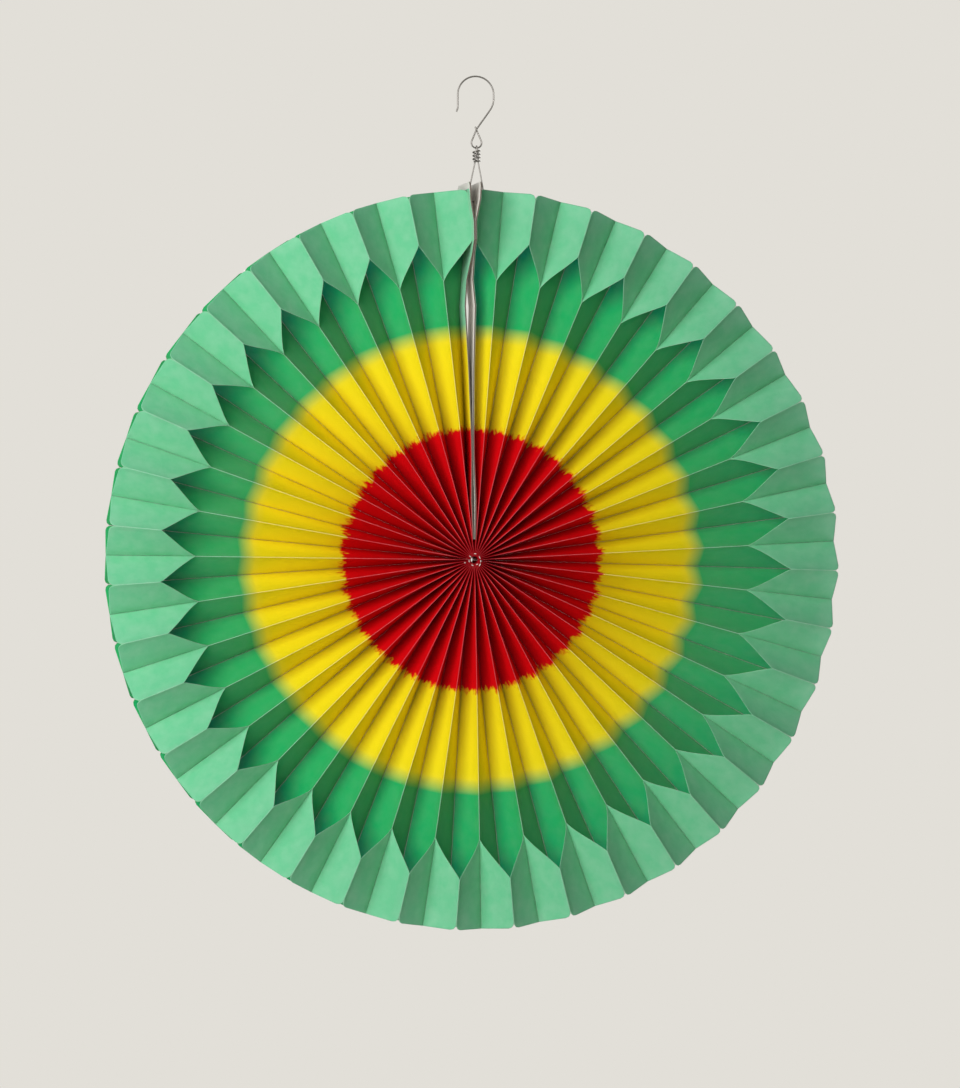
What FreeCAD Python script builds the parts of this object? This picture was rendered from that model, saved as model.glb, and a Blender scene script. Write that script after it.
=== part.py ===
import FreeCAD, Part
import Sketcher
import math
import os

# A hanging rosette of glued tissue leaves, half a metre across.
# The disc stands in the XZ plane and its front faces -Y. Angles run clockwise from 12 o'clock,
# as seen from the front. The origin is where the hook rests on its rail, and the hub lies below it.

SIZES = (
    ("ridge_count", 39, "ridges in the inner zone, one for each pair of leaves"),
    ("seam_pitch", 10.95, "angle between the two ridges beside the end cards, degrees"),
    ("seam_lean", -1.0, "angle of the seam from 12 o'clock, degrees"),
    ("rim_radius", 250, "hub centre to the outer ends of the leaves"),
    ("notch_radius", 189.7, "where the inner ridges end and the leaves start to reach forward"),
    ("tip_radius", 215.5, "where the petals close to a point and the outer ridges start"),
    ("hub_radius", 6, "inside this radius the leaves lie packed together"),
    ("hole_radius", 2.5, "open hole at the hub"),
    ("panel_width", 26, "width of a leaf between neighbouring glue lines, the disc's depth at the hub"),
    ("edge_width", 0.25, "width of one leaf's cut edge at a glued line"),
    ("glue_strip", 0.5, "width of the glued strip along a ridge or valley"),
    ("corner_radius", 5, "rounded corners at the outer end of each leaf and card"),
    ("card_thickness", 0.9, "thickness of an end card"),
    ("card_start", 14, "hub centre to the inner end of a card"),
    ("card_end", 254.5, "hub centre to the outer end of a card"),
    ("pad_thickness", 0.3, "thickness of the adhesive between the cards"),
    ("pad_depth", 20, "depth of an adhesive pad from front to back"),
    ("lower_pad_start", 70, "hub centre to the lower pad"),
    ("lower_pad_end", 83, "hub centre to the far end of the lower pad"),
    ("upper_pad_start", 207, "hub centre to the upper pad"),
    ("upper_pad_end", 228, "hub centre to the far end of the upper pad"),
    ("low_bow_radius", 40, "middle of the slight opening below the lower pad"),
    ("low_bow", 0.7, "how far each card bows out there"),
    ("rise_radius", 130, "where the upper bow starts to widen"),
    ("rise_bow", 1.1, "how far each card stands out there"),
    ("high_bow_radius", 172, "widest place of the upper bow"),
    ("high_bow", 2.9, "how far each card bows out there"),
    ("flare_radius", 242.5, "height of the hanger hole, where the open top bends"),
    ("flare_left", 2.1, "how far the left card leans out at the hole"),
    ("flare_right", 3.25, "how far the right card leans out at the hole"),
    ("top_left", 2.2, "how far the left card leans out at its end"),
    ("top_right", 4.25, "how far the right card leans out at its end"),
    ("card_hole", 1.8, "diameter of the hanger hole in the right card"),
    ("thread_diameter", 0.5, "binding thread"),
    ("thread_ring", 3.4, "radius of the ring that the binding thread makes"),
    ("hook_wire", 1.1, "diameter of the hook's wire"),
    ("hook_crown", 12.3, "bend radius of the hook's bowl, on the wire's centre line"),
    ("hook_rise", 315, "hub centre up to the centre of the hook's bowl"),
    ("hook_shift", 0.7, "hub centre across to the centre of the hook's bowl"),
    ("hook_tip", 303.2, "hub centre up to the hook's free end"),
    ("eye_radius", 3.5, "bend radius of the round bottom of the eye, on the centre line"),
    ("eye_rise", 282.4, "hub centre up to the centre of that bend"),
    ("eye_shift", 1.25, "hub centre across to the centre of that bend"),
    ("eye_neck", 291.6, "hub centre up to where the eye closes"),
    ("eye_tail", 1.8, "how far the eye's end runs past the neck"),
    ("wire_lap", 0.1, "clearance where the eye's end lies behind the neck"),
    ("hook_elbow", 308, "hub centre up to where the hook turns in below its bowl"),
    ("elbow_bend", 14, "bend radius there"),
    ("neck_bend", 8, "bend radius where the hook runs into its eye"),
    ("tip_kick", 0.9, "how far the hook's free end is bent outwards"),
    ("hanger_wire", 0.95, "diameter of the hanger's wire"),
    ("link_gap", 0.3, "clearance between the hanger's loop and the hook's eye"),
    ("wrap_radius", 2.4, "radius of the hanger's wrapped turns, on the centre line"),
    ("wrap_top", 277.4, "hub centre up to the highest wrapped turn"),
    ("wrap_pitch", 2.3, "rise of one wrapped turn"),
    ("wrap_turns", 3.5, "number of wrapped turns"),
    ("right_leg", 6.0, "hanger hole to the leg that passes outside the right card"),
    ("left_leg", 4.2, "hanger hole to the leg between the cards"),
    ("leg_knee", 252, "hub centre up to where the right leg turns inwards"),
    ("knee_drop", 5, "how much lower the left leg turns inwards"),
    ("knee_bend", 14, "bend radius of the knees"),
    ("foot_bend", 1.6, "bend radius at the two ends of the crossing"),
    ("leg_gather", 269.2, "hub centre up to where the legs come together"),
    ("leg_bend", 5, "bend radius there"),
    ("leg_gap", 1.1, "distance of each leg from the middle of the turns"),
)

os.makedirs("parts", exist_ok=True)
doc = FreeCAD.newDocument("paper_fan_rosette")
sheet = doc.addObject("Spreadsheet::Sheet", "Sizes")
for row, (alias, value, note) in enumerate(SIZES, start=1):
    sheet.set(f"A{row}", note)
    sheet.set(f"B{row}", str(value))
    sheet.setAlias(f"B{row}", alias)
doc.recompute()


def size(alias):
    """A driving dimension, read from the sheet."""
    return float(sheet.get(alias))


# The mount point: the underside of the hook's crown, on its centre line.
crown_height = size("hook_rise") + size("hook_crown") - size("hook_wire") / 2
crown_shift = size("hook_shift")
hub = FreeCAD.Vector(-crown_shift, 0, -crown_height)
fan_place = FreeCAD.Placement(hub, FreeCAD.Rotation(FreeCAD.Vector(0, 1, 0), size("seam_lean")))
wire_place = FreeCAD.Placement(hub, FreeCAD.Rotation())


def add_shape(label, shape, placement):
    """A sub-part whose shape is made here, placed in the part's own frame."""
    piece = doc.addObject("Part::Feature", label)
    piece.Label = label
    piece.Shape = shape
    piece.Placement = placement
    return piece


# The seam: the bends of the two cards, each at a radius and standing out by half the pad and a bow.
SEAM_BENDS = (
    ("card_start", None, None),
    ("low_bow_radius", "low_bow", "low_bow"),
    ("lower_pad_start", None, None),
    ("lower_pad_end", None, None),
    ("rise_radius", "rise_bow", "rise_bow"),
    ("high_bow_radius", "high_bow", "high_bow"),
    ("upper_pad_start", None, None),
    ("upper_pad_end", None, None),
    ("flare_radius", "flare_left", "flare_right"),
    ("card_end", "top_left", "top_right"),
)


def between(value, low, high, at_low, at_high):
    """Straight line between two known places."""
    return at_low + (at_high - at_low) * (value - low) / (high - low)


def seam_offset(bend, side, outer):
    """Distance of a card's inner or outer face from the seam line at a bend."""
    bow = bend[1] if side < 0 else bend[2]
    return size("pad_thickness") / 2 + (size(bow) if bow else 0) + (size("card_thickness") if outer else 0)


def card_face(side, radius):
    """Distance of a card's outer face from the seam line; side is -1 for left and 1 for right."""
    for near, far in zip(SEAM_BENDS, SEAM_BENDS[1:]):
        if radius <= size(far[0]):
            low = seam_offset(near, side, True)
            high = seam_offset(far, side, True)
            return between(radius, size(near[0]), size(far[0]), low, high)
    return seam_offset(SEAM_BENDS[-1], side, True)


# The paper. Glue lines are numbered clockwise: line 0 lies on the right card, the last one on the left
# card. Odd lines are the ridges of the inner zone and lie on the front plane. Even lines are its valleys,
# one panel further back. Outside the petal tips the leaves reach forward as well: the even lines are
# glued a second time, one panel before the front plane, and are the ridges of the outer zone, with the
# odd lines as its valleys. From notch to tip this forward half of each leaf grows along a slanting cut,
# free of its neighbours. Leaf n spans from line n to line n + 1.
ridge_count = int(size("ridge_count"))
leaf_count = 2 * ridge_count
seam_pitch = math.radians(size("seam_pitch"))
half_pitch = (2 * math.pi - seam_pitch) / (ridge_count - 1) / 2
panel_width = size("panel_width")
edge_width = size("edge_width")
glue_strip = size("glue_strip")
notch_radius = size("notch_radius")
tip_radius = size("tip_radius")
hub_radius = size("hub_radius")
corner_radius = size("corner_radius")
corner_start = size("rim_radius") - corner_radius
hub_seam_edge = edge_width * 1.4
CORNER_STEPS = 2


def line_place(line, radius):
    """Place across the disc and clockwise direction of a glue line at a radius, in the XZ plane."""
    if line in (0, leaf_count):
        side = 1 if line == 0 else -1
        if radius < size("card_start"):
            full = card_face(side, size("card_start"))
            offset = between(radius, hub_radius, size("card_start"), hub_seam_edge, full)
        else:
            offset = card_face(side, radius)
        return (side * offset, radius), (1.0, 0.0)
    angle = seam_pitch / 2 + (line - 1) * half_pitch
    return (radius * math.sin(angle), radius * math.cos(angle)), (math.cos(angle), -math.sin(angle))


def panel_depth(radius):
    """How far a panel reaches back or forward where it lies slanted between its two lines."""
    span = 2 * radius * math.sin(half_pitch / 2)
    return math.sqrt(panel_width ** 2 - span ** 2)


points = []
triangles = []


def add_point(place, direction, sideways, depth):
    x = place[0] + sideways * direction[0]
    z = place[1] + sideways * direction[1]
    points.append(FreeCAD.Vector(x, depth, z))
    return len(points) - 1


def add_triangle(triangle):
    if len(set(triangle)) == 3:
        triangles.append(triangle)


def strip(inner, outer, front=True):
    """Triangles between two rows of points, each row in clockwise order; front turns them outwards."""
    near = 0
    far = 0
    while near < len(inner) - 1 or far < len(outer) - 1:
        near_done = (near + 1) / max(len(inner) - 1, 1)
        far_done = (far + 1) / max(len(outer) - 1, 1)
        step_near = near < len(inner) - 1 and (far == len(outer) - 1 or near_done <= far_done)
        if step_near:
            triangle = (inner[near], inner[near + 1], outer[far])
            near += 1
        else:
            triangle = (inner[near], outer[far + 1], outer[far])
            far += 1
        add_triangle(triangle if front else triangle[::-1])


def glued_edge(line, radius, level, split=False):
    """Corners of a glued cut edge: left and right, the crotch within, and the middle where it splits.

    Level 0 is the front plane, -1 lies one panel before it, and 1 one panel behind it and faces back.
    """
    place, direction = line_place(line, radius)
    edge = level * panel_depth(radius)
    crotch = edge - glue_strip if level == 1 else edge + glue_strip
    corners = {"crotch": add_point(place, direction, 0, crotch)}
    if split or line in (0, leaf_count):
        corners["middle"] = add_point(place, direction, 0, edge)
    if line != 0:
        corners["left"] = add_point(place, direction, -edge_width, edge)
    if line != leaf_count:
        corners["right"] = add_point(place, direction, edge_width, edge)
    return corners


def waist(line, radius):
    """Corners where two leaves stay glued between their forward and back halves."""
    place, direction = line_place(line, radius)
    return {
        "middle": add_point(place, direction, 0, 0),
        "left": add_point(place, direction, -edge_width, glue_strip / 2),
        "right": add_point(place, direction, edge_width, glue_strip / 2),
        "crotch": add_point(place, direction, 0, glue_strip),
    }


def free_edge(leaf, radius, level, share):
    """Corners of a leaf's own cut edge, at a share of the way from its odd line to its even line."""
    near_place, near_way = line_place(leaf + (leaf + 1) % 2, radius)
    far_place, far_way = line_place(leaf + leaf % 2, radius)
    place = [near + (far - near) * share for near, far in zip(near_place, far_place)]
    way = [near + (far - near) * share for near, far in zip(near_way, far_way)]
    depth = level * share * panel_depth(radius)
    left = share if leaf % 2 == 1 else 1 - share
    return {
        "left": add_point(place, way, -left * edge_width, depth),
        "right": add_point(place, way, (1 - left) * edge_width, depth),
    }


def even_edges(radius, level, split=False):
    """The glued edge that each leaf ends in, shared by the two leaves of a line."""
    edges = {line: glued_edge(line, radius, level, split) for line in range(0, leaf_count + 1, 2)}
    return [edges[leaf + leaf % 2] for leaf in range(leaf_count)]


def free_edges(radius, level, share):
    return [free_edge(leaf, radius, level, share) for leaf in range(leaf_count)]


def flat_row(corners):
    """The cut edges at a glued line, from left to right."""
    return [corners[name] for name in ("left", "middle", "right") if name in corners]


def own_row(leaf, corners):
    """The cut edge of one leaf alone, from left to right."""
    if "crotch" not in corners:
        return [corners["left"], corners["right"]]
    if leaf % 2 == 1:
        return [corners["left"], corners["middle"]]
    return [corners["middle"], corners["right"]]


def inner_section(radius):
    """The corners at a radius inside the notches."""
    split = radius == notch_radius
    middle = {line: glued_edge(line, radius, 0, split) for line in range(1, leaf_count, 2)}
    section = {"middle": middle, "back": even_edges(radius, 1)}
    if split:
        section["front"] = []
        for leaf in range(leaf_count):
            corners = middle[leaf + (leaf + 1) % 2]
            left, right = ("middle", "right") if leaf % 2 == 1 else ("left", "middle")
            section["front"].append({"left": corners[left], "right": corners[right]})
    return section


def outer_section(radius, front, back):
    """The corners at a radius outside the notches."""
    middle = {line: waist(line, radius) for line in range(1, leaf_count, 2)}
    return {"middle": middle, "front": front, "back": back}


def leaf_ring(leaf, section):
    """Named corners round one leaf's section. The outside of a leaf is the side of its odd line."""
    outside, inside = ("left", "right") if leaf % 2 == 1 else ("right", "left")
    middle = section["middle"][leaf + (leaf + 1) % 2]
    ring = {"waist": middle.get("middle"), "side": middle[inside], "crotch": middle["crotch"]}
    for name in ("front", "back"):
        if name in section:
            edge = section[name][leaf]
            ring[name + "_out"] = edge[outside]
            ring[name + "_in"] = edge["crotch" if "crotch" in edge else inside]
    return ring


# The two faces of each panel, from the odd line outwards, and whether that runs clockwise round the leaf.
# Both faces are split along the same diagonal, so that they stay parallel where the panel twists.
LEAF_SIDES = (
    ("waist", "front_out", True),
    ("side", "front_in", False),
    ("side", "back_in", True),
    ("crotch", "back_out", False),
)


def edge_band(near, far, at_front):
    """Cut edges between two radii, shared where the leaves are glued and each leaf's own where not."""
    for leaf in range(leaf_count):
        old = near[leaf]
        new = far[leaf]
        if "crotch" in old and "crotch" in new:
            if leaf % 2 == 0 or leaf == leaf_count - 1:
                strip(flat_row(old), flat_row(new), at_front)
            if leaf in (0, leaf_count - 1):
                rows = [[corners["crotch"], corners["middle"]] for corners in (old, new)]
                strip(rows[0], rows[1], (leaf == 0) == at_front)
            continue
        strip(own_row(leaf, old), own_row(leaf, new), at_front)
        inside = "right" if leaf % 2 == 1 else "left"
        turned = (leaf % 2 == 1) == at_front
        if "crotch" in new:
            strip([old[inside]], [new["middle"], new["crotch"]], turned)
        if "crotch" in old:
            strip([old["middle"], old["crotch"]], [new[inside]], turned)


def leaf_band(near, far):
    """All leaves between two sections."""
    for leaf in range(leaf_count):
        old = leaf_ring(leaf, near)
        new = leaf_ring(leaf, far)
        for first, second, onward in LEAF_SIDES:
            if second in old:
                strip([old[first], old[second]], [new[first], new[second]], (leaf % 2 == 1) == onward)
    edge_band(near["back"], far["back"], False)
    if "front" in near:
        edge_band(near["front"], far["front"], True)
    else:
        for line in near["middle"]:
            strip(flat_row(near["middle"][line]), flat_row(far["middle"][line]))


def rim_cap(section):
    """The outer ends of the leaves."""
    faces = []
    for joint in section["middle"].values():
        faces.append((joint["middle"], joint["right"], joint["crotch"], joint["left"]))
    for leaf in range(leaf_count):
        joint = section["middle"][leaf + (leaf + 1) % 2]
        front = section["front"][leaf]
        back = section["back"][leaf]
        if leaf % 2 == 1:
            faces.append((front["left"], front["right"], joint["right"], joint["middle"]))
            faces.append((joint["right"], back["right"], back["left"], joint["crotch"]))
        else:
            faces.append((front["left"], front["right"], joint["middle"], joint["left"]))
            faces.append((joint["crotch"], back["right"], back["left"], joint["left"]))
    for first, second, third, fourth in faces:
        add_triangle((first, second, third))
        add_triangle((first, third, fourth))


def hub_ring(section):
    """The packed inner ends of the leaves, round the open hole."""
    rows = [section["middle"][line] if line % 2 == 1 else section["back"][min(line, leaf_count - 1)]
            for line in range(leaf_count + 1)]
    hole = size("hole_radius")
    depth = panel_depth(hole)
    ridges = list(range(1, leaf_count, 2))
    front = {line: add_point(*line_place_round(line, hole), 0, 0) for line in ridges}
    back = {line: add_point(*line_place_round(line, hole), 0, depth) for line in range(0, leaf_count, 2)}
    back[leaf_count] = back[0]
    for line in ridges:
        row = rows[line]
        after = line + 2 if line + 2 < leaf_count else 1
        strip([front[line]], flat_row(row))
        strip([front[line], front[after]], [row["right"], rows[after]["left"]])
        add_triangle((front[line], back[line - 1], back[line + 1]))
        add_triangle((front[line], back[line + 1], front[after]))
        add_triangle((row["crotch"], rows[line + 1]["left"], rows[line - 1]["right"]))
        strip([back[line - 1], back[line + 1]], [rows[line - 1]["right"], rows[line + 1]["left"]], False)
        if after != 1:
            strip([back[line + 1]], flat_row(rows[line + 1]), False)
            add_triangle((row["right"], rows[after]["left"], rows[line + 1]["crotch"]))
    first = rows[0]
    last = rows[leaf_count]
    strip([back[0]], [last["left"], last["middle"], first["middle"], first["right"]], False)
    wall = (rows[leaf_count - 1]["right"], rows[1]["left"], first["crotch"], first["middle"],
            last["middle"], last["crotch"])
    for corner in range(1, len(wall) - 1):
        add_triangle((wall[0], wall[corner], wall[corner + 1]))


def line_place_round(line, radius):
    """A glue line's place on the hub hole, where both end lines meet at the seam."""
    if line == 0:
        return (0.0, radius), (1.0, 0.0)
    return line_place(line, radius)


def build_paper():
    """The whole glued stack of leaves as one solid."""
    bends = [size(bend[0]) for bend in SEAM_BENDS]
    inner = [hub_radius] + [bend for bend in bends if bend < notch_radius] + [notch_radius]
    sections = [inner_section(radius) for radius in inner]
    for radius in [bend for bend in bends if notch_radius < bend < tip_radius]:
        share = between(radius, notch_radius, tip_radius, 0, 1)
        sections.append(outer_section(radius, free_edges(radius, -1, share), even_edges(radius, 1)))
    for radius in [tip_radius] + [bend for bend in bends if tip_radius < bend < corner_start] + [corner_start]:
        split = radius in (tip_radius, corner_start)
        front = even_edges(radius, -1, split)
        sections.append(outer_section(radius, front, even_edges(radius, 1, radius == corner_start)))
    for step in range(1, CORNER_STEPS + 1):
        angle = math.pi / 2 * step / CORNER_STEPS
        radius = corner_start + corner_radius * math.sin(angle)
        share = 1 - corner_radius * (1 - math.cos(angle)) / panel_width
        front = free_edges(radius, -1, share)
        sections.append(outer_section(radius, front, free_edges(radius, 1, share)))
    hub_ring(sections[0])
    for near, far in zip(sections, sections[1:]):
        leaf_band(near, far)
    rim_cap(sections[-1])
    print("paper triangles", len(triangles))
    shell = Part.Shape()
    shell.makeShapeFromMesh((points, triangles), 0.0001)
    return Part.Solid(Part.Shell(shell.Faces))


add_shape("paper_rosette", build_paper(), fan_place)


# The cards and their pads: straight-sided profiles in the plane of the disc, padded to their depth.
def outline_sketch(body, name, plane, corners):
    """A closed outline on a plane of a body. A corner has two coordinates and the formula for each."""
    sketch = body.newObject("Sketcher::SketchObject", name)
    support = next(feature for feature in body.Origin.OriginFeatures if feature.Role == plane)
    sketch.AttachmentSupport = (support, [""])
    sketch.MapMode = "FlatFace"
    count = len(corners)
    for index, corner in enumerate(corners):
        follow = corners[(index + 1) % count]
        start = FreeCAD.Vector(corner[0], corner[1], 0)
        sketch.addGeometry(Part.LineSegment(start, FreeCAD.Vector(follow[0], follow[1], 0)), False)
    for index in range(count):
        sketch.addConstraint(Sketcher.Constraint("Coincident", index, 2, (index + 1) % count, 1))
    for index, (across, up, across_formula, up_formula) in enumerate(corners):
        for kind, axis, value, formula in (("DistanceX", -2, across, across_formula),
                                           ("DistanceY", -1, up, up_formula)):
            if formula is None:
                sketch.addConstraint(Sketcher.Constraint("PointOnObject", index, 1, axis))
            else:
                found = sketch.addConstraint(Sketcher.Constraint(kind, -1, 1, index, 1, value))
                sketch.setExpression(f"Constraints[{found}]", formula)
    return sketch


def profile_body(label, corners, depth, shift=0):
    """A body padded both ways from an outline in the plane of the disc."""
    body = doc.addObject("PartDesign::Body", label)
    body.Label = label
    pad = body.newObject("PartDesign::Pad", label + "_pad")
    pad.Profile = outline_sketch(body, label + "_outline", "XZ_Plane", corners)
    pad.SideType = "Symmetric"
    pad.setExpression("Length", depth)
    body.Placement = fan_place * FreeCAD.Placement(FreeCAD.Vector(0, shift, 0), FreeCAD.Rotation())
    return body


def cut_through(body, label, sketch):
    """Cuts an outline across the disc, through the whole body."""
    pocket = body.newObject("PartDesign::Pocket", label)
    pocket.Profile = sketch
    pocket.Type = "ThroughAll"
    pocket.SideType = "Symmetric"
    return pocket


def card_corner(bend, side, outer):
    """One corner of a card's outline, with its formulas."""
    bow = bend[1] if side < 0 else bend[2]
    terms = ["Sizes.pad_thickness / 2"]
    if bow:
        terms.append(f"Sizes.{bow}")
    if outer:
        terms.append("Sizes.card_thickness")
    sign = "-1" if side < 0 else "1"
    x_formula = f"{sign} * (" + " + ".join(terms) + ")"
    return side * seam_offset(bend, side, outer), size(bend[0]), x_formula, f"Sizes.{bend[0]}"


CUT_MARGIN = 1
SAME_PLACE = 0.001


def add_card(label, side):
    """A bent card, its inner face towards the seam, with the outline of a flat leaf."""
    inner = [card_corner(bend, side, False) for bend in SEAM_BENDS]
    outer = [card_corner(bend, side, True) for bend in SEAM_BENDS]
    body = profile_body(label, inner + outer[::-1], "2 * Sizes.panel_width")
    low = (size("card_start") - CUT_MARGIN, f"Sizes.card_start - {CUT_MARGIN}")
    front = (-panel_width - CUT_MARGIN, f"-1 * Sizes.panel_width - {CUT_MARGIN}")
    step = outline_sketch(body, label + "_step", "YZ_Plane", [
        (0, low[0], None, low[1]),
        (0, notch_radius, None, "Sizes.notch_radius"),
        (-panel_width, tip_radius, "-1 * Sizes.panel_width", "Sizes.tip_radius"),
        (front[0], tip_radius, front[1], "Sizes.tip_radius"),
        (front[0], low[0], front[1], low[1]),
    ])
    stepped = cut_through(body, label + "_step_cut", step)
    doc.recompute()
    corners = []
    for index, edge in enumerate(stepped.Shape.Edges, start=1):
        ends = [vertex.Point for vertex in edge.Vertexes]
        at_end = all(abs(end.z - size("card_end")) < SAME_PLACE for end in ends)
        at_side = all(abs(abs(end.y) - panel_width) < SAME_PLACE for end in ends)
        if at_end and at_side and abs(ends[0].y - ends[-1].y) < SAME_PLACE:
            corners.append(f"Edge{index}")
    rounded = body.newObject("PartDesign::Fillet", label + "_corners")
    rounded.Base = (stepped, corners)
    rounded.setExpression("Radius", "Sizes.corner_radius")
    return body


def add_pad(label, start, end, shift):
    """Adhesive between the flat stretches of the two cards."""
    half = size("pad_thickness") / 2
    corners = []
    for sign, height in ((-1, start), (1, start), (1, end), (-1, end)):
        corners.append((sign * half, size(height), f"{sign} * Sizes.pad_thickness / 2", f"Sizes.{height}"))
    return profile_body(label, corners, "Sizes.pad_depth", shift)


def punch(body, label, height, diameter):
    """A round hole across the disc through a card, on the front plane of the inner zone."""
    sketch = body.newObject("Sketcher::SketchObject", label)
    sketch.AttachmentSupport = (next(feature for feature in body.Origin.OriginFeatures
                                     if feature.Role == "YZ_Plane"), [""])
    sketch.MapMode = "FlatFace"
    centre = FreeCAD.Vector(0, size(height), 0)
    circle = sketch.addGeometry(Part.Circle(centre, FreeCAD.Vector(0, 0, 1), size(diameter) / 2), False)
    sketch.addConstraint(Sketcher.Constraint("PointOnObject", circle, 3, -2))
    up = sketch.addConstraint(Sketcher.Constraint("DistanceY", -1, 1, circle, 3, size(height)))
    sketch.setExpression(f"Constraints[{up}]", f"Sizes.{height}")
    across = sketch.addConstraint(Sketcher.Constraint("Diameter", circle, size(diameter)))
    sketch.setExpression(f"Constraints[{across}]", f"Sizes.{diameter}")
    cut_through(body, label + "_cut", sketch)


add_card("end_card_left", -1)
right_card = add_card("end_card_right", 1)
doc.recompute()
unpunched = right_card.Shape.Volume
punch(right_card, "hanger_hole", "flare_radius", "card_hole")
add_pad("card_pad_lower", "lower_pad_start", "lower_pad_end", panel_width / 2)
add_pad("card_pad_upper", "upper_pad_start", "upper_pad_end", 0)

# The binding thread lies on the front edges of the packed leaves, round the hole.
thread = doc.addObject("Part::Torus", "binding_thread")
thread.Label = "binding_thread"
thread.setExpression("Radius1", "Sizes.thread_ring")
thread.setExpression("Radius2", "Sizes.thread_diameter / 2")
thread_front = FreeCAD.Vector(0, -size("thread_diameter") / 2, 0)
facing_front = FreeCAD.Rotation(FreeCAD.Vector(1, 0, 0), 90)
thread.Placement = fan_place * FreeCAD.Placement(thread_front, facing_front)


# The wires: straight runs joined by tangent arcs, swept with a round section.
def bent_wire(route, diameter):
    """A wire along a route of corners, each a place and a bend radius."""
    places = [FreeCAD.Vector(*corner[0]) for corner in route]
    edges = []
    last = places[0]
    for before, corner, after, (_, radius) in zip(places, places[1:], places[2:], route[1:]):
        towards = (before - corner).normalize()
        away = (after - corner).normalize()
        turn = math.pi - towards.getAngle(away)
        reach = radius * math.tan(turn / 2)
        start = corner + towards * reach
        end = corner + away * reach
        bisector = (towards + away).normalize()
        middle = corner + bisector * (radius / math.cos(turn / 2) - radius)
        if (start - last).Length > LEAST_RUN:
            edges.append(Part.LineSegment(last, start).toShape())
        edges.append(Part.Arc(start, middle, end).toShape())
        last = end
    if (places[-1] - last).Length > LEAST_RUN:
        edges.append(Part.LineSegment(last, places[-1]).toShape())
    path = Part.Wire(edges)
    section = Part.Wire(Part.makeCircle(diameter / 2, places[0], places[1] - places[0]))
    wire = path.makePipeShell([section], True, False)
    expected = math.pi * diameter ** 2 / 4 * path.Length
    print("wire", "length", round(path.Length, 2), "volume against section times length",
          round(wire.Volume / expected, 4))
    return wire


LEAST_RUN = 0.001


def hook_route():
    """The hook, from its free end over the bowl to the eye, whose end lies behind the neck."""
    bowl = size("hook_crown")
    left = size("hook_shift") - bowl
    right = size("hook_shift") + bowl
    top = size("hook_rise") + bowl
    eye = size("eye_radius")
    eye_x = size("eye_shift")
    eye_z = size("eye_rise")
    neck_z = size("eye_neck")
    lean = math.asin(eye / (neck_z - eye_z))
    floor = eye_z - eye
    reach = (neck_z - floor) * math.tan(lean)
    behind = size("hook_wire") + size("wire_lap")
    tail = size("eye_tail")
    grow = (neck_z - floor + tail) / (neck_z - floor)
    return [
        ((left - size("tip_kick"), 0, size("hook_tip")), 0),
        ((left, 0, size("hook_tip") + 3 * size("tip_kick")), 3),
        ((left, 0, top), bowl),
        ((right, 0, top), bowl),
        ((right, 0, size("hook_elbow")), size("elbow_bend")),
        ((eye_x, 0, neck_z), size("neck_bend")),
        ((eye_x - reach, 0, floor), eye * EYE_FIT),
        ((eye_x + reach, 0, floor), eye * EYE_FIT),
        ((eye_x + reach * (1 - grow), behind * grow, floor + (neck_z - floor) * grow), 0),
    ]


EYE_FIT = 0.995

add_shape("wire_hook", bent_wire(hook_route(), size("hook_wire")), wire_place)


def hole_centre():
    """The middle of the hanger hole, in the hub's upright frame."""
    bend = next(bend for bend in SEAM_BENDS if bend[0] == "flare_radius")
    across = seam_offset(bend, 1, False) + size("card_thickness") / 2
    return FreeCAD.Rotation(FreeCAD.Vector(0, 1, 0), size("seam_lean")).multVec(
        FreeCAD.Vector(across, 0, size("flare_radius")))


def hanger_route():
    """The hanger: up the right leg's end, round through the hole, over the eye and round in turns."""
    hole = hole_centre()
    middle = size("eye_shift")
    loop = size("hook_wire") / 2 + size("link_gap") + size("hanger_wire") / 2
    loop_top = size("eye_rise") - size("eye_radius") + loop
    wrap = size("wrap_radius")
    top = size("wrap_top")
    gather = size("leg_gather")
    route = [
        ((middle + size("leg_gap"), 0, top - size("wrap_pitch") / 2), 0),
        ((middle + size("leg_gap"), 0, gather), size("leg_bend")),
        ((hole.x + size("right_leg"), 0, size("leg_knee")), size("knee_bend")),
        ((hole.x + size("right_leg"), 0, hole.z), size("foot_bend")),
        ((hole.x - size("left_leg"), 0, hole.z), size("foot_bend")),
        ((hole.x - size("left_leg"), 0, size("leg_knee") - size("knee_drop")), size("knee_bend")),
        ((middle - size("leg_gap"), 0, gather), size("leg_bend")),
        ((middle - size("leg_gap"), 0, gather + 2), 1),
        ((middle, -loop, top - 2), 1),
        ((middle, -loop, loop_top), loop * EYE_FIT),
        ((middle, loop, loop_top), loop * EYE_FIT),
        ((middle, loop, top + 0.2), 0.7),
    ]
    for quarter in range(int(size("wrap_turns") * 4) + 1):
        angle = math.pi / 4 - quarter * math.pi / 2
        reach = wrap * math.sqrt(2)
        bend = wrap * (0.6 if quarter == 0 else 0.95)
        drop = size("wrap_pitch") * quarter / 4
        route.append(((middle + reach * math.cos(angle), reach * math.sin(angle), top - drop), bend))
    return route


add_shape("hanger_wire", bent_wire(hanger_route(), size("hanger_wire")), wire_place)

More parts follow.
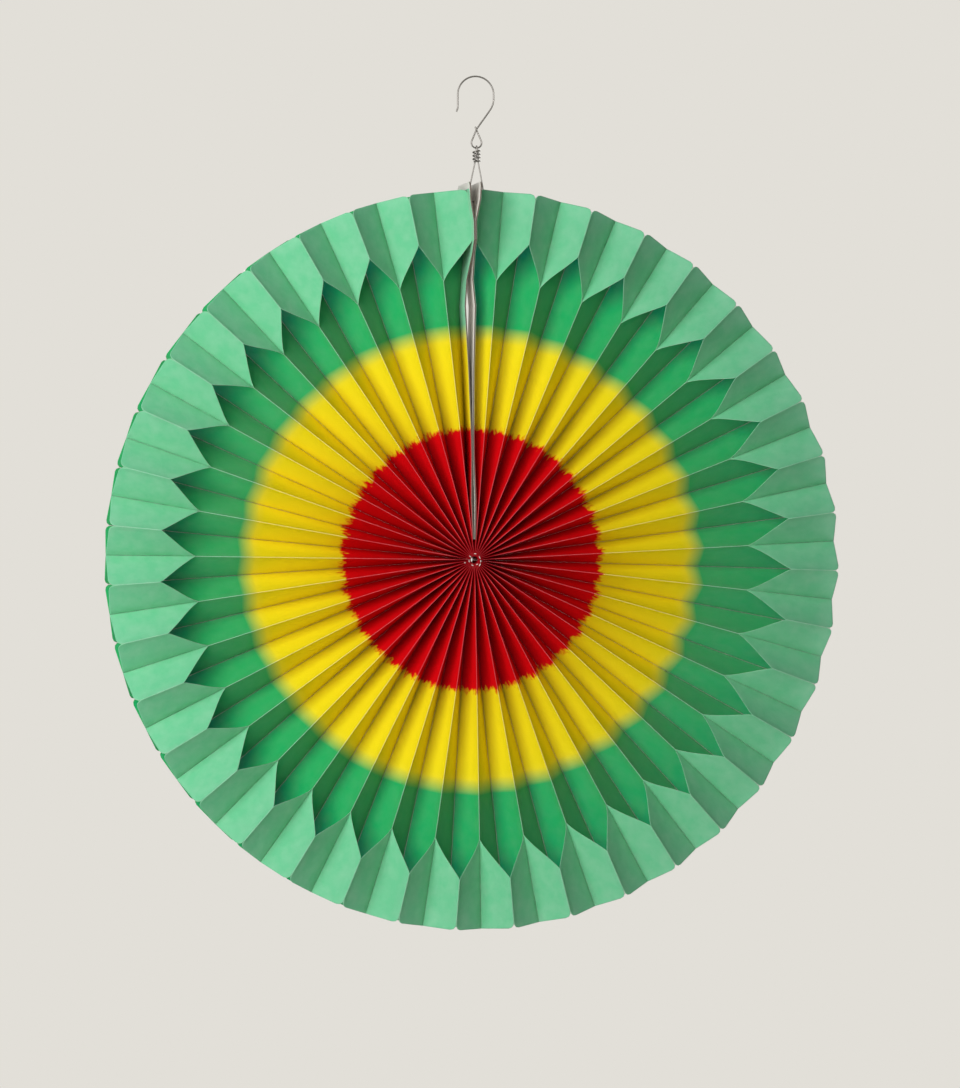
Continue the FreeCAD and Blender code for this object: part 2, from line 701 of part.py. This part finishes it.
doc.recompute()
assert right_card.Shape.Volume < unpunched
NODES = ("paper_rosette", "end_card_left", "end_card_right", "card_pad_lower", "card_pad_upper",
         "binding_thread", "wire_hook", "hanger_wire")
for piece in doc.Objects:
    if "Invalid" in piece.State or "Error" in piece.State:
        raise RuntimeError(f"{piece.Label} failed")
for name in NODES:
    shape = doc.getObject(name).Shape
    if shape.isNull() or not shape.isValid():
        raise RuntimeError(f"{name} has no valid shape")
    print(name, "solids", len(shape.Solids), "volume", round(shape.Volume, 2), shape.BoundBox)
    shape.exportStep(f"parts/{name}.step")
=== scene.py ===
import math

import bmesh
import bpy
from mathutils import Matrix, Vector, noise


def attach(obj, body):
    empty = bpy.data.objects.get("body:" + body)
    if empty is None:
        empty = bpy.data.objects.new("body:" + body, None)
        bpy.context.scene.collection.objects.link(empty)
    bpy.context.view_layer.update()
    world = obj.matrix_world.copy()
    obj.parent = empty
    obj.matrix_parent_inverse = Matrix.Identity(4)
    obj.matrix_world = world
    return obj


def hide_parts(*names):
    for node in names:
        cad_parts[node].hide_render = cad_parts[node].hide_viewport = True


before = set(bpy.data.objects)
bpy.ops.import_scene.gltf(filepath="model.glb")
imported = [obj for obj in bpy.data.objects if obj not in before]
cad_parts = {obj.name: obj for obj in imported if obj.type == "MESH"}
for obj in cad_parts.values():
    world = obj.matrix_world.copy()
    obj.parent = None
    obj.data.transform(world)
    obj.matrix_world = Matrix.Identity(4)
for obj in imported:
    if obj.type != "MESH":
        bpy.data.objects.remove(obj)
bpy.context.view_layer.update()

# The rosette hangs with its hub below the hook's crown, and its seam leans a little to the left.
MM = 0.001
HUB = Vector((-0.7, 0.0, -326.75)) * MM
SEAM_LEAN = math.radians(-1)

# The leaves, in millimetres from the hub. Glue lines are numbered clockwise from the seam: odd lines are
# ridges inside the notches, even lines are valleys there and ridges outside the petal tips.
LEAVES = 78
SEAM_PITCH = math.radians(10.95)
LINE_STEP = (2 * math.pi - SEAM_PITCH) / (LEAVES - 2)
PANEL = 26.0
NOTCH = 189.7
TIP = 215.5
RIM = 250.0
CORNER = 5.0

# A sheet's drawn thickness, the share of a panel that the glue holds flat, half the gap left between two
# glued sheets, and how much a panel curls beside its creases.
SHEET = 0.16
GLUE_SHARE = 0.02
GLUE_GAP = 0.005
CREASE_PULL = 0.08

# How far a leaf flutters off its flat shape, over what length and share of its width, how much each leaf
# differs from the next, and from what radius outwards it does so in full.
LOOSENESS = 0.5
FLUTTER_ALONG = 38
FLUTTER_ACROSS = 1.4
LEAF_SPREAD = 7.3
LOOSE_FROM = 120

# Rows of a sheet along the radius, and its columns from the front corner to the back corner.
RADII = (2.6, 4, 6, 9, 14, 22, 31, 40, 50, 60, 70, 83, 95, 107, 118, 130, 141, 152, 162, 172, 181, NOTCH,
         193.5, 197.5, 202, 207, 211, 213.8, TIP, 219, 223.5, 228, 233, 238, 242.5, 245, 247.5, 249.3, RIM)
ACROSS = (-1, -0.96, -0.8, -0.5, -0.2, -0.04, 0, 0.04, 0.2, 0.5, 0.8, 0.96, 1)

# Outer faces of the two end cards: radius, then distance from the seam on the left and on the right.
CARD_FACES = ((2.6, 0.2, 0.2), (6, 0.35, 0.35), (14, 1.05, 1.05), (40, 1.75, 1.75), (70, 1.05, 1.05),
              (83, 1.05, 1.05), (130, 2.15, 2.15), (172, 3.95, 3.95), (207, 1.05, 1.05),
              (228, 1.05, 1.05), (242.5, 3.15, 4.3), (254.5, 3.25, 5.3))
LEFT = 1
RIGHT = 2

# The sheet on a card: where it starts, how far it stays inside the card's edges, and how far the sheet's
# middle stands off the card's face.
COVER_START = 14.1
COVER_MARGIN = 0.1
COVER_STANDOFF = SHEET * 0.6


def card_face(radius, side):
    """Distance of a card's outer face from the seam."""
    for near, far in zip(CARD_FACES, CARD_FACES[1:]):
        if radius <= far[0]:
            share = (radius - near[0]) / (far[0] - near[0])
            return near[side] + (far[side] - near[side]) * share
    return CARD_FACES[-1][side]


def line_point(line, radius):
    """Where a glue line lies across the disc at a radius."""
    if line == 0:
        return Vector((card_face(radius, RIGHT), radius))
    if line == LEAVES:
        return Vector((-card_face(radius, LEFT), radius))
    angle = SEAM_PITCH / 2 + (line - 1) * LINE_STEP
    return Vector((math.sin(angle), math.cos(angle))) * radius


def panel_depth(radius):
    """How far a slanted panel reaches back or forward."""
    return math.sqrt(PANEL ** 2 - (2 * radius * math.sin(LINE_STEP / 2)) ** 2)


def front_reach(radius):
    """Share of the forward panel that the die-cut outline leaves: none inside the notch, all past the tip."""
    grown = min(max((radius - NOTCH) / (TIP - NOTCH), 0), 1)
    return min(grown, back_reach(radius))


def back_reach(radius):
    """Share of the rear panel, less the rounded corner at the rim."""
    past = max(radius - (RIM - CORNER), 0)
    return 1 - (CORNER - math.sqrt(CORNER ** 2 - past ** 2)) / PANEL


def shape_sheet(place, into, inner_first):
    """Adds one sheet as a grid across and along the radius, shaped by place, to a mesh."""
    sheet = bmesh.new()
    bmesh.ops.create_grid(sheet, x_segments=len(ACROSS) - 1, y_segments=len(RADII) - 1, size=1)
    cut_edge = sheet.verts.layers.float.new("cut_edge_mm")
    radius_mark = sheet.verts.layers.float.new("radius_mm")
    for vertex in sheet.verts:
        across = ACROSS[round((vertex.co.x + 1) / 2 * (len(ACROSS) - 1))]
        radius = RADII[round((vertex.co.y + 1) / 2 * (len(RADII) - 1))]
        front = front_reach(radius)
        back = back_reach(radius)
        share = across * (front if across < 0 else back)
        vertex[cut_edge] = min(share + front, back - share) * PANEL
        vertex[radius_mark] = radius
        vertex.co = place(radius, share)
    bmesh.ops.remove_doubles(sheet, verts=sheet.verts, dist=0.0005)
    if not inner_first:
        bmesh.ops.reverse_faces(sheet, faces=sheet.faces)
    shaped = bpy.data.meshes.new("sheet")
    sheet.to_mesh(shaped)
    sheet.free()
    into.from_mesh(shaped)
    bpy.data.meshes.remove(shaped)


def leaf_place(leaf):
    """The shape of one leaf between its odd line, at share 0, and its even line, at share 1 and -1."""
    odd_line = leaf + (leaf + 1) % 2
    even_line = leaf + leaf % 2
    side = 1 if leaf % 2 == 1 else -1

    def place(radius, share):
        reach = min(max((abs(share) - GLUE_SHARE) / (1 - 2 * GLUE_SHARE), 0), 1)
        reach -= CREASE_PULL * math.sin(2 * math.pi * reach) / (2 * math.pi)
        odd = line_point(odd_line, radius)
        across = odd.lerp(line_point(even_line, radius), reach)
        clockwise = Vector((odd.y, -odd.x)).normalized()
        flutter = noise.noise(Vector((leaf * LEAF_SPREAD, radius / FLUTTER_ALONG, share * FLUTTER_ACROSS)))
        loose = LOOSENESS * flutter * math.sin(math.pi * reach) * min(radius / LOOSE_FROM, 1)
        across += clockwise * (side * (1 - 2 * reach) * (SHEET / 2 + GLUE_GAP) + loose)
        return Vector((across.x, share * panel_depth(radius), across.y))

    return place


def cover_place(side):
    """The shape of the sheet glued flat on the outside of an end card."""
    sign = -1 if side == LEFT else 1

    def place(radius, share):
        start = max(radius, COVER_START)
        out = card_face(start, side) + COVER_STANDOFF
        return Vector((sign * out, share * (PANEL - COVER_MARGIN), start))

    return place


def finish_piece(mesh, name, body, materials):
    """Turns a mesh built round the hub in millimetres into a finished object on its body."""
    bmesh.ops.transform(mesh, verts=mesh.verts, matrix=(
        Matrix.Translation(HUB) @ Matrix.Rotation(SEAM_LEAN, 4, "Y") @ Matrix.Scale(MM, 4)))
    data = bpy.data.meshes.new(name)
    mesh.to_mesh(data)
    mesh.free()
    piece = bpy.data.objects.new(name, data)
    bpy.context.scene.collection.objects.link(piece)
    for material in materials:
        data.materials.append(material)
    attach(piece, body)
    return piece


# Materials.
def linear(hex_colour):
    """An sRGB hex colour as linear RGBA."""
    channels = [int(hex_colour[at:at + 2], 16) / 255 for at in (1, 3, 5)]
    straight = [value / 12.92 if value <= 0.04045 else ((value + 0.055) / 1.055) ** 2.4 for value in channels]
    return straight + [1]


def add_node(tree, kind, inputs=None, **settings):
    """A node with its settings. An input is a value, or another node's output to link."""
    node = tree.nodes.new(kind)
    for name, value in settings.items():
        setattr(node, name, value)
    for name, value in (inputs or {}).items():
        if isinstance(value, bpy.types.NodeSocket):
            tree.links.new(value, node.inputs[name])
        else:
            node.inputs[name].default_value = value
    return node


def new_material(name):
    """An empty node material and its shader."""
    material = bpy.data.materials.new(name)
    material.use_nodes = True
    tree = material.node_tree
    return material, tree, tree.nodes["Principled BSDF"]


# Where the dyes lie, in millimetres from the hub. Inside RED_SURE all is red, and RED_REACH is where the red
# ends once the bleed along the fibres is added. Yellow turns to green over GREEN_MELT.
HUB_DYE = (12.5, 21.25)
RED_SURE = 60
RED_CORE = (75, 75.25)
RED_REACH = (94.5, 98)
BLEED_LENGTH = 14
GREEN_MELT = (149, 160)
BLOOM_STARTS = (145, 165)


def dyed_tissue(name, hub, inner, middle, outer, edge, edge_highlight_share, cloudy, sheen):
    """Coloured tissue paper, dyed in rings: red bleeds into yellow along the fibres, yellow melts into green.

    The eye sees a soft sheet with deep colour in its shade. A painted highlight pales its colour along the
    cut edges. Its green has faint clouds and a whitish bloom where light falls on it. The last three
    arguments are the strengths of the painted edge highlight, the clouds and the bloom.
    """
    material, tree, shader = new_material(name)
    place = add_node(tree, "ShaderNodeTexCoord").outputs["Object"]
    radius = add_node(tree, "ShaderNodeAttribute", attribute_name="radius_mm").outputs["Fac"]
    share = add_node(tree, "ShaderNodeMath", {0: radius, 1: RIM}, operation="DIVIDE")
    rings = add_node(tree, "ShaderNodeValToRGB", {"Fac": share.outputs[0]})
    ramp = rings.color_ramp
    ramp.elements[0].color = linear(hub)
    for at, colour in ((HUB_DYE[0], hub), (HUB_DYE[1], inner), (RED_CORE[0], inner), (RED_CORE[1], middle),
                       (GREEN_MELT[0], middle)):
        ramp.elements.new(at / RIM).color = linear(colour)
    ramp.elements[-1].position = GREEN_MELT[1] / RIM
    ramp.elements[-1].color = linear(outer)
    bleed = add_node(tree, "ShaderNodeTexNoise", {"Vector": place, "Scale": 210, "Detail": 3})
    ragged = add_node(tree, "ShaderNodeMath", {0: bleed.outputs["Fac"], 1: BLEED_LENGTH, 2: radius},
                      operation="MULTIPLY_ADD")
    soaked = add_node(tree, "ShaderNodeMapRange", {
        "Value": ragged.outputs[0], "From Min": RED_REACH[0], "From Max": RED_REACH[1],
        "To Min": 1.0, "To Max": 0.0})
    past_core = add_node(tree, "ShaderNodeMath", {0: radius, 1: RED_SURE}, operation="GREATER_THAN")
    bled = add_node(tree, "ShaderNodeMath", {0: soaked.outputs["Result"], 1: past_core.outputs[0]},
                    operation="MULTIPLY")
    dyed = add_node(tree, "ShaderNodeMix", {
        "Factor": bled.outputs[0], "A": rings.outputs["Color"], "B": linear(inner)}, data_type="RGBA")
    bloom, clouds = [add_node(tree, "ShaderNodeMapRange", {
        "Value": radius, "From Min": BLOOM_STARTS[0], "From Max": BLOOM_STARTS[1],
        "To Min": 0.0, "To Max": most}) for most in (sheen, cloudy)]
    tree.links.new(bloom.outputs["Result"], shader.inputs["Sheen Weight"])
    cloud = add_node(tree, "ShaderNodeTexNoise", {"Vector": place, "Scale": 120, "Detail": 4})
    thin = add_node(tree, "ShaderNodeMapRange", {
        "Value": cloud.outputs["Fac"], "From Min": 0.35, "From Max": 0.75,
        "To Min": 0.0, "To Max": clouds.outputs["Result"]})
    clouded = add_node(tree, "ShaderNodeMix", {
        "Factor": thin.outputs["Result"], "A": dyed.outputs["Result"], "B": linear("#e4efe6")},
        data_type="RGBA")
    # Painted highlight: within 0.7 mm of a cut edge the colour turns towards the pale edge colour.
    painted_edge_highlight = add_node(tree, "ShaderNodeMapRange", {
        "Value": add_node(tree, "ShaderNodeAttribute", attribute_name="cut_edge_mm").outputs["Fac"],
        "From Min": 0.1, "From Max": 0.7, "To Min": edge_highlight_share, "To Max": 0.0})
    edge_highlighted = add_node(tree, "ShaderNodeMix", {
        "Factor": painted_edge_highlight.outputs["Result"], "A": clouded.outputs["Result"], "B": linear(edge)},
        data_type="RGBA")
    tree.links.new(edge_highlighted.outputs["Result"], shader.inputs["Base Color"])
    fibres = add_node(tree, "ShaderNodeTexNoise", {"Vector": place, "Scale": 900, "Detail": 3})
    crinkle = add_node(tree, "ShaderNodeTexNoise", {"Vector": place, "Scale": 90, "Detail": 2})
    height = add_node(tree, "ShaderNodeMath", {
        0: fibres.outputs["Fac"], 1: 0.12, 2: crinkle.outputs["Fac"]}, operation="MULTIPLY_ADD")
    relief = add_node(tree, "ShaderNodeBump", {
        "Height": height.outputs[0], "Strength": 0.5, "Distance": 0.0006})
    tree.links.new(relief.outputs["Normal"], shader.inputs["Normal"])
    shader.inputs["Roughness"].default_value = 0.85
    shader.inputs["Specular IOR Level"].default_value = 0.04
    shader.inputs["Sheen Roughness"].default_value = 0.6
    shader.inputs["Subsurface Weight"].default_value = 0.3
    shader.inputs["Subsurface Scale"].default_value = 0.002
    shader.inputs["Subsurface Radius"].default_value = (1.0, 1.0, 1.0)
    return material


# The dyed side is deep green inside the notches. The other side, which the outer lobes show, is paler.
tissue_face = dyed_tissue("tissue_dyed_side", "#cc0410", "#d4040c", "#efd914", "#06a04c", "#e8b8bc",
                          edge_highlight_share=0.14, cloudy=0.02, sheen=0.2)
tissue_back = dyed_tissue("tissue_pale_side", "#cc0410", "#d4040c", "#efd914", "#66c48f", "#e8b8bc",
                          edge_highlight_share=0.14, cloudy=0.1, sheen=0.15)
# The sheets' cut rims are a painted highlight: paler copies of the dyes, standing for the bright lines along
# lit ridges.
tissue_edge_highlight = dyed_tissue("tissue_cut_edge_highlight", "#a80d18", "#d84a52", "#f2e27a", "#8ed2ac", "#f2e6e2",
                          edge_highlight_share=0.0, cloudy=0.1, sheen=0.1)


def plain_material(name, colour, roughness, metallic=0.0):
    """One even colour with one even shine."""
    material, _, shader = new_material(name)
    shader.inputs["Base Color"].default_value = linear(colour)
    shader.inputs["Roughness"].default_value = roughness
    shader.inputs["Metallic"].default_value = metallic
    return material


MOSTLY_ACROSS = 0.7


def lined_board(name, lining, core):
    """Greyboard lined with white paper. The eye sees bright matte faces and a grey-brown cut edge.

    A face that looks across the disc is lining, and one that looks forward, back, up or down is cut.
    """
    material, tree, shader = new_material(name)
    normal = add_node(tree, "ShaderNodeTexCoord").outputs["Normal"]
    across = add_node(tree, "ShaderNodeSeparateXYZ", {"Vector": normal})
    broad = add_node(tree, "ShaderNodeMath", {0: across.outputs["X"]}, operation="ABSOLUTE")
    on_face = add_node(tree, "ShaderNodeMath", {0: broad.outputs[0], 1: MOSTLY_ACROSS},
                       operation="GREATER_THAN")
    colour = add_node(tree, "ShaderNodeMix", {
        "Factor": on_face.outputs[0], "A": linear(core), "B": linear(lining)}, data_type="RGBA")
    tree.links.new(colour.outputs["Result"], shader.inputs["Base Color"])
    shader.inputs["Roughness"].default_value = 0.85
    return material


board = lined_board("lined_greyboard", "#e7e4dc", "#665c52")
# White glue, dried clear-grey between the cards.
adhesive = plain_material("dried_white_glue", "#cfcabb", 0.45)
# Spun cotton thread: matte off-white.
cotton = plain_material("cotton_thread", "#f1eee6", 0.9)
# Drawn steel wire: dark grey with a soft shine along it.
steel = plain_material("drawn_steel_wire", "#7d7a76", 0.34, 1.0)

for node, material in (("end_card_left", board), ("end_card_right", board), ("card_pad_lower", adhesive),
                       ("card_pad_upper", adhesive), ("wire_hook", steel), ("hanger_wire", steel)):
    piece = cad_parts[node]
    piece.data.materials.clear()
    piece.data.materials.append(material)

# The leaves, glued in a honeycomb, and the two sheets that line the cards.
leaves = bmesh.new()
for leaf in range(LEAVES):
    shape_sheet(leaf_place(leaf), leaves, leaf % 2 == 1)
shape_sheet(cover_place(LEFT), leaves, True)
shape_sheet(cover_place(RIGHT), leaves, False)
for face in leaves.faces:
    face.smooth = True
tissue = finish_piece(leaves, "tissue_leaves", "rosette", [tissue_face, tissue_back, tissue_edge_highlight])
thickness = tissue.modifiers.new("sheet thickness", "SOLIDIFY")
thickness.thickness = SHEET * MM
thickness.offset = 0
thickness.material_offset = 1
# The rims take the painted-highlight material.
thickness.material_offset_rim = 2
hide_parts("paper_rosette")

# Stitches of the binding thread round the hub hole: place across the disc, angle and length.
STITCHES = ((0.4, 4.2, 10, 1.6), (3.4, 1.6, 60, 1.8), (4.1, -0.9, 95, 1.6), (1.5, -3.0, 160, 1.4),
            (3.4, -3.4, 120, 2.0), (-3.9, -0.8, 80, 1.5), (-3.1, 2.4, 40, 1.6), (-1.6, -3.6, 20, 1.6),
            (-6.8, -1.7, 75, 1.2))
THREAD = 0.5
stitches = bmesh.new()
for x, z, angle, length in STITCHES:
    made = bmesh.ops.create_uvsphere(stitches, u_segments=12, v_segments=8, radius=THREAD / 2)["verts"]
    bmesh.ops.scale(stitches, verts=made, vec=(length / THREAD, 1, 1))
    bmesh.ops.rotate(stitches, verts=made, matrix=Matrix.Rotation(math.radians(angle), 3, "Y"))
    bmesh.ops.translate(stitches, verts=made, vec=(x, -THREAD / 2, z))
for face in stitches.faces:
    face.smooth = True
thread = finish_piece(stitches, "thread_stitches", "rosette", [cotton])
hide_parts("binding_thread")


# The stage: a plain pale floor far below, and a pale room that the camera and the metal see.
ROOM = "#e2dfd8"
FLOOR_HEIGHT = -1.0
FLOOR_RADIUS = 2.3
AMBIENT = 0.09
floor_mesh = bmesh.new()
bmesh.ops.create_circle(floor_mesh, cap_ends=True, segments=128, radius=FLOOR_RADIUS)
bmesh.ops.translate(floor_mesh, verts=floor_mesh.verts, vec=(0, 0, FLOOR_HEIGHT))
floor_data = bpy.data.meshes.new("floor")
floor_mesh.to_mesh(floor_data)
floor_mesh.free()
floor = bpy.data.objects.new("floor", floor_data)
bpy.context.scene.collection.objects.link(floor)
floor_data.materials.append(plain_material("painted_floor", ROOM, 0.9))

world = bpy.data.worlds.new("pale_room")
bpy.context.scene.world = world
world.use_nodes = True
tree = world.node_tree
tree.nodes.clear()
path = add_node(tree, "ShaderNodeLightPath")
seen = add_node(tree, "ShaderNodeMath", {0: path.outputs["Is Camera Ray"], 1: path.outputs["Is Glossy Ray"]},
                operation="MAXIMUM")
shown = add_node(tree, "ShaderNodeMath", {0: seen.outputs[0], 1: path.outputs["Is Transmission Ray"]},
                 operation="MAXIMUM")
ambient = add_node(tree, "ShaderNodeBackground", {"Color": linear("#f4f4f6"), "Strength": AMBIENT})
backdrop = add_node(tree, "ShaderNodeBackground", {"Color": linear(ROOM), "Strength": 1.0})
mixed = add_node(tree, "ShaderNodeMixShader", {
    "Fac": shown.outputs[0], 1: ambient.outputs[0], 2: backdrop.outputs[0]})
add_node(tree, "ShaderNodeOutputWorld", {"Surface": mixed.outputs[0]})


def aim(thing, target):
    """Turns a light or camera to look at a place."""
    thing.rotation_euler = (target - thing.location).to_track_quat("-Z", "Y").to_euler()


def soft_light(name, direction, distance, size, power):
    """A round lamp that looks at the hub from a direction."""
    data = bpy.data.lights.new(name, "AREA")
    data.shape = "DISK"
    data.size = size
    data.energy = power
    lamp = bpy.data.objects.new(name, data)
    bpy.context.scene.collection.objects.link(lamp)
    lamp.location = HUB + Vector(direction).normalized() * distance
    aim(lamp, HUB)
    return lamp


# A broad window to the left of the camera, a faint fill from its right, and a soft lamp behind the disc.
window = soft_light("window", (-0.6, -0.77, 0.22), 1.2, 1.1, 17.5)
fill = soft_light("fill", (0.75, -0.9, -0.1), 3.2, 2.0, 1)
behind = soft_light("behind", (0.5, 0.85, 0.4), 2.6, 2.0, 28)

# The photograph's camera: level with the disc, a little to the left of its normal.
PHOTO_SCALE = 0.6775 * MM
PHOTO_HEIGHT = 1088
PHOTO_CENTRE = HUB + Vector((3.6, 0, 10.8)) * MM
SENSOR = 24
CAMERA_TURN = math.radians(9.5)
CAMERA_PITCH = math.radians(0.5)
CAMERA_DISTANCE = 3.0
camera_data = bpy.data.cameras.new("camera")
camera_data.sensor_fit = "VERTICAL"
camera_data.sensor_height = SENSOR
camera_data.lens = SENSOR * CAMERA_DISTANCE / (PHOTO_HEIGHT * PHOTO_SCALE)
camera = bpy.data.objects.new("camera", camera_data)
bpy.context.scene.collection.objects.link(camera)
camera.location = PHOTO_CENTRE + CAMERA_DISTANCE * Vector((
    -math.sin(CAMERA_TURN) * math.cos(CAMERA_PITCH), -math.cos(CAMERA_TURN) * math.cos(CAMERA_PITCH),
    math.sin(CAMERA_PITCH)))
aim(camera, PHOTO_CENTRE)
bpy.context.scene.camera = camera
bpy.context.scene.view_settings.view_transform = "Standard"
